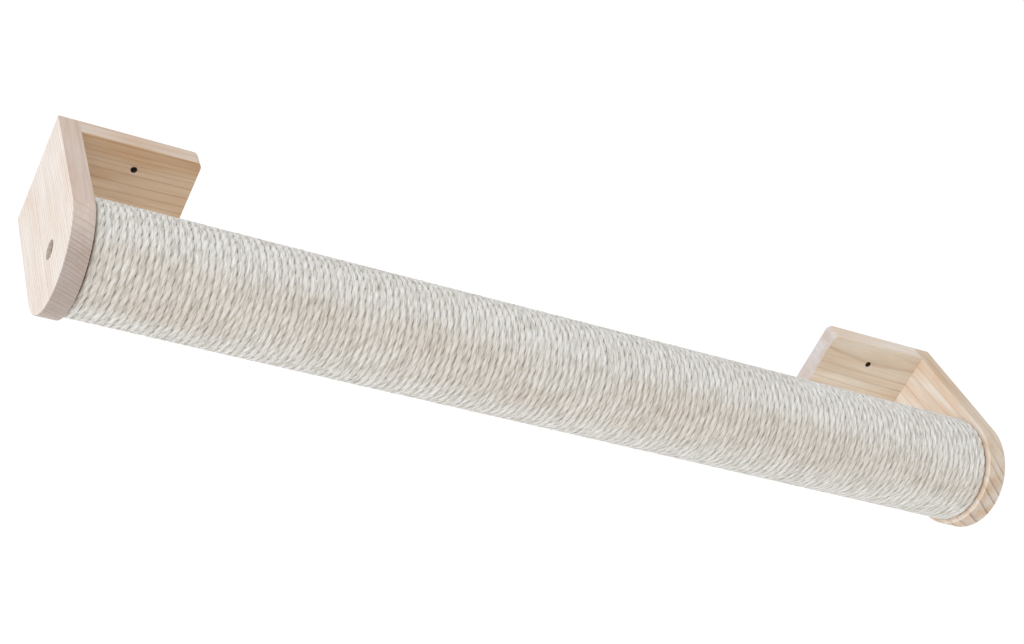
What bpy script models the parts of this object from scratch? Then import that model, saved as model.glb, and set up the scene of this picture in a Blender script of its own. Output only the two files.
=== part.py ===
# Wall-mounted cat scratching post: a rope-wound tube held between two pine wall brackets.
# Frame: metres, +Z up, X along the post, the wall is the plane Y = 0 and the room is on its -Y side.
# The origin is on the wall, midway between the brackets, level with the post's axis.

import math

import bmesh
import bpy
import numpy as np
from mathutils import Vector

# Overall sizes
SPAN = 0.846  # clear length between the end plates, filled by the winding
STAND_OFF = 0.125  # wall to the post's axis
PLATE_HEIGHT = 0.100

# Boards of the brackets
END_BOARD = 0.018
WALL_BOARD = 0.018
WALL_PLATE_LENGTH = 0.103
CORNER_RADIUS = 0.006
EASED_EDGE = 0.001
WALL_SCREW_HOLE = 0.0055
WALL_SCREW_SPACING = 0.057

# Corner dowels
DOWEL = 0.008
DOWEL_SPACING = 0.056
DOWEL_IN_END_PLATE = 0.012
DOWEL_IN_WALL_PLATE = 0.028
DOWEL_CHAMFER = 0.0008

# Core of the post
CORE = 0.080
CORE_WALL = 0.005
PLUG_LENGTH = 0.025

# Rope
ROPE = 0.006
TURN_GAP = 0.0006  # between the drawn turns, which touch on the real winding
TURNS_DRAWN = 12  # at each end of the post
POINTS_PER_TURN = 24

# Bolts, washers and threaded inserts on the post's axis
BOLT = 0.008
BOLT_LENGTH = 0.025
BOLT_HEAD_HEIGHT = 0.008
BOLT_HEAD_RIM = 0.0025  # how far the head stands out past the shank
BOLT_EDGE = 0.0007  # chamfer on the head and the tip
BOLT_CLEARANCE = 0.0005  # round the shank in the end plate
SOCKET_ACROSS_FLATS = 0.006
SOCKET_DEPTH = 0.004
HEAD_RECESS = 0.0029  # from the end plate's face to the bolt's head
WASHER_RIM = 0.001  # how far the washer stands out past the head
WASHER_THICKNESS = 0.0016
WASHER_CLEARANCE = 0.0005  # round the washer in its counterbore
INSERT_WALL = 0.002
INSERT_LENGTH = 0.015
INSERT_FLANGE_RIM = 0.0025
INSERT_FLANGE_THICKNESS = 0.0015

# Countersunk screws through the core into each plug
PLUG_SCREWS = 3
PLUG_SCREW = 0.0035
PLUG_SCREW_HEAD_RIM = 0.00175
PLUG_SCREW_LENGTH = 0.016
PLUG_SCREW_POINT = 0.004

SEAT = 0.0003  # gap between pieces that touch
REACH = 0.002  # how far a cutter starts outside what it cuts

# Fineness of the round shapes
CORE_SIDES = 48
ROUND_SIDES = 24
DOWEL_SIDES = 16
SCREW_SIDES = 12
FRONT_STEPS = 32
CORNER_STEPS = 8
SHARP_ANGLE = math.radians(35)

# Sizes that follow from the ones above
HALF_SPAN = SPAN / 2
HALF_HEIGHT = PLATE_HEIGHT / 2
CORE_RADIUS = CORE / 2
PLUG_RADIUS = CORE_RADIUS - CORE_WALL - SEAT
WOUND_LENGTH = SPAN - 2 * SEAT
TURNS = round(WOUND_LENGTH / ROPE)
PITCH = WOUND_LENGTH / TURNS
DRAWN_ROPE = PITCH - TURN_GAP
COIL_RADIUS = (CORE_RADIUS + SEAT + DRAWN_ROPE / 2) / math.cos(math.pi / POINTS_PER_TURN)
BOLT_HEAD = BOLT + 2 * BOLT_HEAD_RIM
BOLT_HOLE = BOLT + 2 * BOLT_CLEARANCE
WASHER = BOLT_HEAD + 2 * WASHER_RIM
INSERT = BOLT + 2 * INSERT_WALL
INSERT_FLANGE = INSERT + 2 * INSERT_FLANGE_RIM
COUNTERBORE = WASHER + 2 * WASHER_CLEARANCE
COUNTERBORE_DEPTH = HEAD_RECESS + BOLT_HEAD_HEIGHT + WASHER_THICKNESS + 2 * SEAT
COUNTERBORE_FLOOR = HALF_SPAN + END_BOARD - COUNTERBORE_DEPTH
PLUG_FACE = HALF_SPAN - SEAT
PLUG_MIDDLE = PLUG_FACE - PLUG_LENGTH / 2

AXIS_CENTRE = Vector((0.0, -STAND_OFF, 0.0))
SIDES = {"left": -1, "right": 1}


def clear_scene():
    for obj in list(bpy.data.objects):
        bpy.data.objects.remove(obj)


def new_collection(name):
    collection = bpy.data.collections.new(name)
    bpy.context.scene.collection.children.link(collection)
    return collection


def new_material(name, colour, roughness, metallic=0.0):
    material = bpy.data.materials.new(name)
    material.use_nodes = True
    shader = material.node_tree.nodes["Principled BSDF"]
    shader.inputs["Base Color"].default_value = (*colour, 1.0)
    shader.inputs["Roughness"].default_value = roughness
    shader.inputs["Metallic"].default_value = metallic
    material.diffuse_color = (*colour, 1.0)
    return material


def new_empty(name, location):
    empty = bpy.data.objects.new(name, None)
    empty.location = location
    empty.empty_display_size = 0.05
    parts.objects.link(empty)
    return empty


def arc(centre, radius, start, end, steps):
    # Points on a circle from one angle to the other, in degrees, both ends included
    angles = np.radians(np.linspace(start, end, steps + 1))
    return [(centre[0] + radius * math.cos(a), centre[1] + radius * math.sin(a)) for a in angles]


def solid_mesh(obj):
    # The evaluated shape as one plain mesh with its seams welded and its flat faces whole
    graph = bpy.context.evaluated_depsgraph_get()
    mesh = bpy.data.meshes.new_from_object(obj.evaluated_get(graph))
    shape = bmesh.new()
    shape.from_mesh(mesh)
    bmesh.ops.remove_doubles(shape, verts=shape.verts, dist=1e-6)
    bmesh.ops.dissolve_limit(shape, angle_limit=math.radians(0.5), verts=shape.verts, edges=shape.edges)
    shape.to_mesh(mesh)
    shape.free()
    mesh.shade_smooth()
    mesh.set_sharp_from_angle(angle=SHARP_ANGLE)
    return mesh


def solid_from(obj, name, material, parent=None, collection=None):
    # Replaces a curve or a profile with a mesh object of the same shape and place
    mesh = solid_mesh(obj)
    mesh.name = name
    matrix = obj.matrix_world.copy()
    bpy.data.objects.remove(obj)
    solid = bpy.data.objects.new(name, mesh)
    solid.matrix_world = matrix
    (collection or parts).objects.link(solid)
    if material:
        mesh.materials.clear()
        mesh.materials.append(material)
    if parent:
        solid.parent = parent
        solid.matrix_parent_inverse = parent.matrix_world.inverted()
    return solid


def place(obj, location, rotation):
    obj.location = location
    obj.rotation_euler = rotation
    parts.objects.link(obj)
    bpy.context.view_layer.update()


def board(name, outline, thickness, location, rotation, material, parent):
    # A flat board: its outline is a 2D curve, extruded to its thickness, with eased edges
    curve = bpy.data.curves.new(name, "CURVE")
    curve.dimensions = "2D"
    curve.fill_mode = "BOTH"
    curve.extrude = thickness / 2
    spline = curve.splines.new("POLY")
    spline.points.add(len(outline) - 1)
    for point, (u, v) in zip(spline.points, outline):
        point.co = (u, v, 0.0, 1.0)
    spline.use_cyclic_u = True
    flat = bpy.data.objects.new(name, curve)
    place(flat, location, rotation)
    solid = solid_from(flat, name, material, parent)
    eased = solid.modifiers.new("eased_edges", "BEVEL")
    eased.width = EASED_EDGE
    eased.segments = 2
    eased.limit_method = "ANGLE"
    eased.angle_limit = SHARP_ANGLE
    return solid


def turned(name, profile, location, rotation, material=None, parent=None, closed=False, sides=ROUND_SIDES,
           collection=None):
    # A turned shape: (radius, height) points down its outer side, swept round local Z
    mesh = bpy.data.meshes.new(name)
    line = bmesh.new()
    points = [line.verts.new((radius, 0.0, height)) for radius, height in profile]
    for first, second in zip(points, points[1:]):
        line.edges.new((first, second))
    if closed:
        line.edges.new((points[-1], points[0]))
    line.to_mesh(mesh)
    line.free()
    obj = bpy.data.objects.new(name, mesh)
    sweep = obj.modifiers.new("turn", "SCREW")
    sweep.steps = sides
    sweep.render_steps = sides
    sweep.use_merge_vertices = True
    sweep.merge_threshold = 1e-5
    place(obj, location, rotation)
    return solid_from(obj, name, material, parent, collection)


def cut(target, cutter):
    cutter.hide_render = True
    cutter.display_type = "WIRE"
    step = target.modifiers.new(cutter.name, "BOOLEAN")
    step.operation = "DIFFERENCE"
    step.solver = "EXACT"
    step.object = cutter


def drilled(target, name, diameter, mouth, rotation, depth):
    # A round hole from its mouth along local -Z, with a cutter that starts outside the piece
    profile = [(0.0, REACH), (diameter / 2, REACH), (diameter / 2, -depth), (0.0, -depth)]
    cut(target, turned(name, profile, mouth, rotation, collection=cutters))


def outward(side):
    # Turns local +Z to the post's outer side, left or right
    return (0.0, side * math.pi / 2, 0.0)


def end_plate(label, side, parent):
    front = arc((-STAND_OFF, 0.0), HALF_HEIGHT, 90, 270, FRONT_STEPS)
    outline = [(0.0, HALF_HEIGHT)] + front + [(0.0, -HALF_HEIGHT)]
    middle = (side * (HALF_SPAN + END_BOARD / 2), 0.0, 0.0)
    upright = (math.pi / 2, 0.0, math.pi / 2)
    plate = board(f"{label}_end_plate", outline, END_BOARD, middle, upright, pine, parent)
    outer_face = AXIS_CENTRE + Vector((side * (HALF_SPAN + END_BOARD), 0.0, 0.0))
    drilled(plate, f"{label}_counterbore", COUNTERBORE, outer_face, outward(side), COUNTERBORE_DEPTH)
    drilled(plate, f"{label}_bolt_hole", BOLT_HOLE, outer_face, outward(side), END_BOARD + REACH)
    for level, z in dowel_levels():
        mouth = (side * HALF_SPAN, -WALL_BOARD / 2, z)
        depth = DOWEL_IN_END_PLATE + SEAT
        name = f"{label}_end_plate_dowel_hole_{level}"
        drilled(plate, name, DOWEL + 2 * SEAT, mouth, outward(-side), depth)


def wall_plate(label, side, parent):
    # Seen from the room: square where it butts on the end plate, rounded at its free end
    free = WALL_PLATE_LENGTH
    top_corner = arc((free - CORNER_RADIUS, HALF_HEIGHT - CORNER_RADIUS), CORNER_RADIUS, 90, 0, CORNER_STEPS)
    half = [(SEAT, HALF_HEIGHT)] + top_corner
    outline = half + [(u, -v) for u, v in reversed(half)]
    outline = [(-side * u, v) for u, v in outline]
    middle = (side * HALF_SPAN, -WALL_BOARD / 2, 0.0)
    plate = board(f"{label}_wall_plate", outline, WALL_BOARD, middle, (math.pi / 2, 0.0, 0.0), pine, parent)
    for level, z in (("upper", WALL_SCREW_SPACING / 2), ("lower", -WALL_SCREW_SPACING / 2)):
        mouth = (side * (HALF_SPAN - WALL_PLATE_LENGTH / 2), -WALL_BOARD, z)
        towards_room = (math.pi / 2, 0.0, 0.0)
        name = f"{label}_wall_screw_hole_{level}"
        drilled(plate, name, WALL_SCREW_HOLE, mouth, towards_room, WALL_BOARD + REACH)
    for level, z in dowel_levels():
        mouth = (side * (HALF_SPAN - SEAT), -WALL_BOARD / 2, z)
        name = f"{label}_wall_plate_dowel_hole_{level}"
        drilled(plate, name, DOWEL + 2 * SEAT, mouth, outward(side), DOWEL_IN_WALL_PLATE)


def dowel_levels():
    return (("upper", DOWEL_SPACING / 2), ("lower", -DOWEL_SPACING / 2))


def dowels(label, side, parent):
    radius = DOWEL / 2
    length = DOWEL_IN_END_PLATE + DOWEL_IN_WALL_PLATE - SEAT
    profile = [
        (0.0, DOWEL_IN_END_PLATE),
        (radius - DOWEL_CHAMFER, DOWEL_IN_END_PLATE),
        (radius, DOWEL_IN_END_PLATE - DOWEL_CHAMFER),
        (radius, DOWEL_IN_END_PLATE - length + DOWEL_CHAMFER),
        (radius - DOWEL_CHAMFER, DOWEL_IN_END_PLATE - length),
        (0.0, DOWEL_IN_END_PLATE - length),
    ]
    for level, z in dowel_levels():
        start = (side * HALF_SPAN, -WALL_BOARD / 2, z)
        turned(f"{label}_dowel_{level}", profile, start, outward(side), beech, parent, sides=DOWEL_SIDES)


def ring_profile(outer, inner, top, bottom):
    # A tube's section, down the outer side and up the bore
    return [(outer, top), (outer, bottom), (inner, bottom), (inner, top)]


def core_tube(parent):
    half = HALF_SPAN - SEAT
    profile = ring_profile(CORE_RADIUS, CORE_RADIUS - CORE_WALL, half, -half)
    return turned("core_tube", profile, AXIS_CENTRE, outward(1), card, parent, closed=True, sides=CORE_SIDES)


def core_plug(label, side, parent):
    # A disc with a bore for the insert and a shallow seat for its flange
    bore = INSERT / 2 + SEAT
    flange_seat = INSERT_FLANGE / 2 + SEAT
    flange_floor = -INSERT_FLANGE_THICKNESS - SEAT
    profile = [
        (PLUG_RADIUS, 0.0),
        (PLUG_RADIUS, -PLUG_LENGTH),
        (bore, -PLUG_LENGTH),
        (bore, flange_floor),
        (flange_seat, flange_floor),
        (flange_seat, 0.0),
    ]
    face = AXIS_CENTRE + Vector((side * PLUG_FACE, 0.0, 0.0))
    name = f"{label}_core_plug"
    return turned(name, profile, face, outward(side), pine, parent, closed=True, sides=CORE_SIDES)


def threaded_insert(label, side, parent):
    bore = BOLT / 2 + SEAT
    profile = [
        (INSERT_FLANGE / 2, 0.0),
        (INSERT_FLANGE / 2, -INSERT_FLANGE_THICKNESS),
        (INSERT / 2, -INSERT_FLANGE_THICKNESS),
        (INSERT / 2, -INSERT_LENGTH),
        (bore, -INSERT_LENGTH),
        (bore, 0.0),
    ]
    face = AXIS_CENTRE + Vector((side * PLUG_FACE, 0.0, 0.0))
    turned(f"{label}_threaded_insert", profile, face, outward(side), zinc, parent, closed=True)


def washer(label, side, parent):
    profile = ring_profile(WASHER / 2, BOLT / 2 + SEAT, WASHER_THICKNESS, 0.0)
    seat = AXIS_CENTRE + Vector((side * (COUNTERBORE_FLOOR + SEAT), 0.0, 0.0))
    turned(f"{label}_washer", profile, seat, outward(side), zinc, parent, closed=True)


def post_bolt(label, side, parent):
    head, shank = BOLT_HEAD / 2, BOLT / 2
    profile = [
        (0.0, BOLT_HEAD_HEIGHT),
        (head - BOLT_EDGE, BOLT_HEAD_HEIGHT),
        (head, BOLT_HEAD_HEIGHT - BOLT_EDGE),
        (head, 0.0),
        (shank, 0.0),
        (shank, -BOLT_LENGTH + BOLT_EDGE),
        (shank - BOLT_EDGE, -BOLT_LENGTH),
        (0.0, -BOLT_LENGTH),
    ]
    under_head = COUNTERBORE_FLOOR + WASHER_THICKNESS + 2 * SEAT
    seat = AXIS_CENTRE + Vector((side * under_head, 0.0, 0.0))
    bolt = turned(f"{label}_post_bolt", profile, seat, outward(side), zinc, parent)
    corner = SOCKET_ACROSS_FLATS / 2 / math.cos(math.pi / 6)
    hexagon = [(0.0, REACH), (corner, REACH), (corner, -SOCKET_DEPTH), (0.0, -SOCKET_DEPTH)]
    top = seat + Vector((side * BOLT_HEAD_HEIGHT, 0.0, 0.0))
    cut(bolt, turned(f"{label}_bolt_socket", hexagon, top, outward(side), sides=6, collection=cutters))


def plug_screw_profile(clearance):
    shank = PLUG_SCREW / 2 + clearance
    head = shank + PLUG_SCREW_HEAD_RIM
    cone = head - shank
    tip = -PLUG_SCREW_LENGTH - clearance
    return [(0.0, 0.0), (head, 0.0), (shank, -cone), (shank, tip + PLUG_SCREW_POINT), (0.0, tip)]


def plug_screws(label, side, parent, tube, plug):
    # Radial screws with their flat heads just under the tube's surface
    hole = plug_screw_profile(SEAT)
    hole = [(0.0, REACH), (hole[1][0], REACH)] + hole[1:]
    for number in range(PLUG_SCREWS):
        angle = 2 * math.pi * (number + 0.5) / PLUG_SCREWS
        radial = Vector((0.0, math.cos(angle), math.sin(angle)))
        depth = (CORE_RADIUS - SEAT) * math.cos(math.pi / CORE_SIDES)
        head = AXIS_CENTRE + Vector((side * PLUG_MIDDLE, 0.0, 0.0)) + radial * depth
        rotation = (angle - math.pi / 2, 0.0, 0.0)
        name = f"{label}_plug_screw_{number + 1}"
        turned(name, plug_screw_profile(0.0), head, rotation, zinc, parent, sides=SCREW_SIDES)
        hole_cutter = turned(f"{name}_hole", hole, head, rotation, sides=SCREW_SIDES,
                             collection=cutters)
        cut(tube, hole_cutter)
        cut(plug, hole_cutter)


def turn_points(side):
    # Centre line of the turns at one end of the post, from its end plate inwards. The whole winding is one
    # helix, so the right end's turns are the left end's after half a turn about a line across the post.
    first = -HALF_SPAN + SEAT + DRAWN_ROPE / 2
    points = []
    count = TURNS_DRAWN * POINTS_PER_TURN
    for step in range(1, count):
        angle = 2 * math.pi * step / POINTS_PER_TURN
        along = first + PITCH * step / POINTS_PER_TURN
        points.append((along, COIL_RADIUS * math.cos(angle), COIL_RADIUS * math.sin(angle)))
    # Both ends run straight, square to the plane through the axis where they stop
    last = first + PITCH * TURNS_DRAWN
    head = [(first, COIL_RADIUS, SEAT), (first, COIL_RADIUS, SEAT + DRAWN_ROPE)]
    tail = [(last, COIL_RADIUS, -SEAT - DRAWN_ROPE), (last, COIL_RADIUS, -SEAT)]
    points = head + points + tail
    return [Vector((-side * x, y, side * -z)) for x, y, z in points]


def least_gap(points):
    # Clear distance between each point of the line and the turns beside it
    line = np.array([tuple(point) for point in points])
    apart = POINTS_PER_TURN // 2
    nearest = min(
        np.linalg.norm(line[index + apart:] - line[index], axis=1).min() for index in range(len(line) - apart)
    )
    return nearest - DRAWN_ROPE


def rope_turns(label, side, parent):
    name = f"{label}_rope_turns"
    points = turn_points(side)
    curve = bpy.data.curves.new(name, "CURVE")
    curve.dimensions = "3D"
    curve.bevel_depth = DRAWN_ROPE / 2
    curve.bevel_resolution = 1
    curve.use_fill_caps = True
    spline = curve.splines.new("POLY")
    spline.points.add(len(points) - 1)
    for point, at in zip(spline.points, points):
        point.co = (*at, 1.0)
    tube = bpy.data.objects.new(name, curve)
    place(tube, AXIS_CENTRE, (0.0, 0.0, 0.0))
    solid_from(tube, name, sisal, parent)
    print(f"{name}: {TURNS_DRAWN} turns, least gap to itself {1000 * least_gap(points):.2f} mm")


def rope_middle(parent):
    # The turns between the drawn ones, as a sleeve. Each end is a ramp of one pitch that the last drawn
    # turn lies against, with a step that the drawn rope's end meets.
    low = -HALF_SPAN + SEAT + TURNS_DRAWN * PITCH
    outer, inner = CORE_RADIUS + ROPE, CORE_RADIUS + SEAT
    shape = bmesh.new()

    def ring(radius):
        # Left and right end points of each column, first column to last, which share one angle
        columns = []
        for step in range(CORE_SIDES + 1):
            angle = 2 * math.pi * step / CORE_SIDES
            y, z = radius * math.cos(angle), radius * math.sin(angle)
            climb = PITCH * step / CORE_SIDES
            columns.append([shape.verts.new((x, y, z)) for x in (low + climb, -low - PITCH + climb)])
        return columns

    out, inn = ring(outer), ring(inner)
    for step in range(CORE_SIDES):
        # The first column's side also holds the last column's left corner, and the other way round
        left_extra = step == 0
        right_extra = step == CORE_SIDES - 1
        for columns, facing_out in ((out, True), (inn, False)):
            here, after = columns[step], columns[step + 1]
            face = [here[0]] + [columns[-1][0]] * left_extra + [here[1]]
            face += [after[1]] + [columns[0][1]] * right_extra + [after[0]]
            shape.faces.new(face[::-1] if facing_out else face)
        for end in (0, 1):
            rim = [out[step][end], out[step + 1][end], inn[step + 1][end], inn[step][end]]
            shape.faces.new(rim[::-1] if end else rim)
    shape.faces.new([out[0][0], out[-1][0], inn[-1][0], inn[0][0]])
    shape.faces.new([out[0][1], out[-1][1], inn[-1][1], inn[0][1]])
    bmesh.ops.recalc_face_normals(shape, faces=shape.faces)
    mesh = bpy.data.meshes.new("rope_turns_middle")
    shape.to_mesh(mesh)
    shape.free()
    mesh.shade_smooth()
    mesh.set_sharp_from_angle(angle=SHARP_ANGLE)
    mesh.materials.append(sisal)
    sleeve = bpy.data.objects.new("rope_turns_middle", mesh)
    place(sleeve, AXIS_CENTRE, (0.0, 0.0, 0.0))
    sleeve.parent = parent
    sleeve.matrix_parent_inverse = parent.matrix_world.inverted()


clear_scene()
parts = new_collection("wall_mounted_scratching_post")
cutters = new_collection("cutters")
pine = new_material("pine", (0.78, 0.62, 0.46), 0.55)
beech = new_material("beech", (0.66, 0.46, 0.30), 0.6)
card = new_material("card", (0.42, 0.31, 0.20), 0.9)
sisal = new_material("sisal", (0.72, 0.68, 0.58), 0.85)
zinc = new_material("zinc_plated_steel", (0.55, 0.56, 0.57), 0.35, 1.0)

post = new_empty("post", AXIS_CENTRE)
bpy.context.view_layer.update()
tube = core_tube(post)
rope_middle(post)
for label, side in SIDES.items():
    bracket = new_empty(f"{label}_bracket", (side * HALF_SPAN, 0.0, 0.0))
    bpy.context.view_layer.update()
    end_plate(label, side, bracket)
    wall_plate(label, side, bracket)
    dowels(label, side, bracket)
    washer(label, side, bracket)
    post_bolt(label, side, bracket)
    plug = core_plug(label, side, post)
    threaded_insert(label, side, post)
    plug_screws(label, side, post, tube, plug)
    rope_turns(label, side, post)
print(f"{TURNS} turns of {1000 * ROPE:.1f} mm rope at {1000 * PITCH:.3f} mm pitch")
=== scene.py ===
# Wall-mounted cat scratching post: a post wound with sisal rope, held level between two pine
# wall brackets. Metres, +Z up. The wall is the plane Y = 0 and the room is on its -Y side.
import math
import random

import bmesh
import bpy
import numpy as np
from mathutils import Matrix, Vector, noise


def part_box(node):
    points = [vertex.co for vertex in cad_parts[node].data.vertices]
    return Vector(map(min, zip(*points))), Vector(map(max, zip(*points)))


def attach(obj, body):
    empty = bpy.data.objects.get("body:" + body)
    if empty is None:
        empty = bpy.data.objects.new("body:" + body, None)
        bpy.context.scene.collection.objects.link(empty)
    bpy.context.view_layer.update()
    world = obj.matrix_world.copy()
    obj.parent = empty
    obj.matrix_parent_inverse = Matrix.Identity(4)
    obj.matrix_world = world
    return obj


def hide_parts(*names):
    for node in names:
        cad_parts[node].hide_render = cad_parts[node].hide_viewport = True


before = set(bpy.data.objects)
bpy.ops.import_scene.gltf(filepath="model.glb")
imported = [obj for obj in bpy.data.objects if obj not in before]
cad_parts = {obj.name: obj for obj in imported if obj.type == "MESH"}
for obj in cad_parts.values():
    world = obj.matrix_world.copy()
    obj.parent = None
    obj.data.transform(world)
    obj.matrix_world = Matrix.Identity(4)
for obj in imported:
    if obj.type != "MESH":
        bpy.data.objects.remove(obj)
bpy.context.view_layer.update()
print("frame loaded:", len(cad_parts), "nodes")

mm = 0.001
postAxis = -125 * mm  # Y of the post's axis, at Z = 0
bracketSides = {"left": -1, "right": 1}
nearly = 0.01 * mm  # points closer than this are in one place
aligned = 0.9  # a face looks along an axis when its normal has more than this share of it
flatBelow = math.radians(0.5)  # faces that bend less than this become one
sharpFrom = math.radians(35)  # an edge that bends more than this is eased
smoothBelow = math.radians(40)  # an edge that bends less than this is shaded smooth


def hexColour(code):
    # sRGB hex to the linear values that the shaders take
    channels = [int(code[i:i + 2], 16) / 255 for i in (1, 3, 5)]
    linear = [c / 12.92 if c <= 0.04045 else ((c + 0.055) / 1.055) ** 2.4 for c in channels]
    return (*linear, 1.0)


def addNode(tree, kind, settings=None, values=None, links=None, stops=None):
    node = tree.nodes.new(kind)
    for name, value in (settings or {}).items():
        setattr(node, name, value)
    for key, value in (values or {}).items():
        node.inputs[key].default_value = value
    for key, socket in (links or {}).items():
        tree.links.new(socket, node.inputs[key])
    for number, (place, colour) in enumerate(stops or []):  # a colour ramp's stops in order
        ramp = node.color_ramp.elements
        stop = ramp[number] if number < 2 else ramp.new(place)
        stop.position, stop.color = place, hexColour(colour)
    return node


def newMaterial(name, constants):
    material = bpy.data.materials.new(name)
    material.use_nodes = True
    shader = material.node_tree.nodes["Principled BSDF"]
    for key, value in constants.items():
        shader.inputs[key].default_value = value
    return material, material.node_tree, shader


def selectNothing():
    if bpy.context.object and bpy.context.object.mode != "OBJECT":
        bpy.ops.object.mode_set(mode="OBJECT")
    bpy.ops.object.select_all(action="DESELECT")


def makeActive(piece):
    selectNothing()
    piece.select_set(True)
    bpy.context.view_layer.objects.active = piece


def newest(name):
    # The primitive just added, with its place moved into its mesh
    piece = bpy.context.object
    piece.name = piece.data.name = name
    makeActive(piece)
    bpy.ops.object.transform_apply(location=True, rotation=True, scale=True)
    return piece


def selectInEdit(piece, kind, test):
    # Edit mode with the faces or edges selected that pass the test
    makeActive(piece)
    bpy.ops.object.mode_set(mode="EDIT")
    bpy.ops.mesh.select_mode(type=kind)
    bpy.ops.mesh.select_all(action="DESELECT")
    shape = bmesh.from_edit_mesh(piece.data)
    for element in shape.faces if kind == "FACE" else shape.edges:
        element.select_set(bool(test(element)))
    shape.select_flush_mode()  # an edge between two chosen corners is not itself chosen
    bmesh.update_edit_mesh(piece.data)


def applyModifier(piece, kind, settings):
    makeActive(piece)
    modifier = piece.modifiers.new(kind.lower(), kind)
    for name, value in settings.items():
        setattr(modifier, name, value)
    bpy.ops.object.modifier_apply(modifier=modifier.name)


def pointOutward(piece):
    # Normals made consistent, and turned round where the whole shape came out inside out
    makeActive(piece)
    bpy.ops.object.mode_set(mode="EDIT")
    bpy.ops.mesh.select_mode(type="FACE")
    bpy.ops.mesh.select_all(action="SELECT")
    bpy.ops.mesh.normals_make_consistent(inside=False)
    if bmesh.from_edit_mesh(piece.data).calc_volume(signed=True) < 0:
        bpy.ops.mesh.flip_normals()
    bpy.ops.object.mode_set(mode="OBJECT")


def finishShading(piece):
    # Smooth over roundings, with normals that follow the large flat faces
    makeActive(piece)
    bpy.ops.object.shade_smooth_by_angle(angle=smoothBelow)
    applyModifier(piece, "WEIGHTED_NORMAL", {"keep_sharp": True})


def giveMaterial(piece, *materials):
    # A face keeps its material index, as far as there are that many materials
    indices = [min(face.material_index, len(materials) - 1) for face in piece.data.polygons]
    piece.data.materials.clear()
    for material in materials:
        piece.data.materials.append(material)
    piece.data.polygons.foreach_set("material_index", indices)


# Stage and light

stageSettings = {
    "floorLevel": -1.15,  # a wall-mounted post hangs well above the floor
    "floorSize": 60.0,
    "floorColour": "#F4F3F1",
    "floorGlow": 1.1,  # only where the floor is seen, so that it is white round the shadow
    "glowShare": 0.8,
    "worldLight": 0.8,
    "backdrop": "#FFFFFF",
    "cameraPlace": (-0.76396, -1.2982, 0.65771),
    "cameraTurn": (65.0993, -22.9859, -13.4567),
    "lens": 64.676,
    "sensor": 36.0,
    "shift": (0.1631, -0.1387),
}

lampSettings = {
    "keyFromLeft": {"place": (-2.6, -0.9, 1.1), "target": (0, -0.1, 0),
                    "size": (1.6, 1.6), "power": 24},
    "softFromAbove": {"place": (0.9, -1.0, 2.6), "target": (0.1, -0.1, 0),
                      "size": (2.4, 1.6), "power": 14},
    "softFromBelow": {"place": (0.1, -1.3, -1.0), "target": (0, -0.1, 0),
                      "size": (2.4, 1.0), "power": 9},
}


def whereSeen(tree):
    # 1 where the camera, metal or glass looks at it, and 0 where it only lights something
    path = addNode(tree, "ShaderNodeLightPath")
    seen = addNode(tree, "ShaderNodeMath", {"operation": "MAXIMUM"},
                   links={0: path.outputs["Is Camera Ray"], 1: path.outputs["Is Glossy Ray"]})
    seen = addNode(tree, "ShaderNodeMath", {"operation": "MAXIMUM"},
                   links={0: seen.outputs[0], 1: path.outputs["Is Transmission Ray"]})
    return seen.outputs[0]


def makeFloor():
    selectNothing()
    bpy.ops.mesh.primitive_plane_add(size=stageSettings["floorSize"],
                                     location=(0, 0, stageSettings["floorLevel"]))
    floor = newest("floor")
    material, tree, shader = newMaterial("pale_floor_paint", {
        "Base Color": hexColour(stageSettings["floorColour"]), "Roughness": 0.9,
        "Specular IOR Level": 0.2})
    share = addNode(tree, "ShaderNodeMath", {"operation": "MULTIPLY"},
                    {1: stageSettings["glowShare"]}, {0: whereSeen(tree)})
    glow = addNode(tree, "ShaderNodeEmission", values={
        "Color": hexColour(stageSettings["backdrop"]), "Strength": stageSettings["floorGlow"]})
    mix = addNode(tree, "ShaderNodeMixShader",
                  links={0: share.outputs[0], 1: shader.outputs[0], 2: glow.outputs[0]})
    tree.links.new(mix.outputs[0], tree.nodes["Material Output"].inputs["Surface"])
    giveMaterial(floor, material)


def makeWorld():
    world = bpy.data.worlds.new("studio")
    bpy.context.scene.world = world
    world.use_nodes = True
    tree = world.node_tree
    tree.nodes.clear()
    backdrop = hexColour(stageSettings["backdrop"])
    light = addNode(tree, "ShaderNodeBackground",
                    values={"Color": backdrop, "Strength": stageSettings["worldLight"]})
    plain = addNode(tree, "ShaderNodeBackground", values={"Color": backdrop, "Strength": 1.0})
    mix = addNode(tree, "ShaderNodeMixShader",
                  links={0: whereSeen(tree), 1: light.outputs[0], 2: plain.outputs[0]})
    output = addNode(tree, "ShaderNodeOutputWorld", links={"Surface": mix.outputs[0]})
    output.is_active_output = True


def makeLamp(name, settings):
    selectNothing()
    bpy.ops.object.light_add(type="AREA", location=settings["place"])
    lamp = bpy.context.object
    lamp.name = name
    lamp.data.shape = "RECTANGLE"
    lamp.data.size, lamp.data.size_y = settings["size"]
    lamp.data.energy = settings["power"]
    towards = Vector(settings["target"]) - Vector(settings["place"])
    lamp.rotation_euler = towards.to_track_quat("-Z", "Y").to_euler()
    lamp.visible_camera = False


def makeCamera():
    selectNothing()
    turns = [math.radians(turn) for turn in stageSettings["cameraTurn"]]
    bpy.ops.object.camera_add(location=stageSettings["cameraPlace"], rotation=turns)
    camera = bpy.context.object
    camera.name = "camera"
    camera.data.sensor_width = stageSettings["sensor"]
    camera.data.lens = stageSettings["lens"]
    camera.data.shift_x, camera.data.shift_y = stageSettings["shift"]
    bpy.context.scene.camera = camera


makeCamera()
makeFloor()
makeWorld()
for lampName, lamp in lampSettings.items():
    makeLamp(lampName, lamp)
bpy.context.scene.view_settings.view_transform = "Standard"
print("camera, floor and light placed")


# Materials

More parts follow.
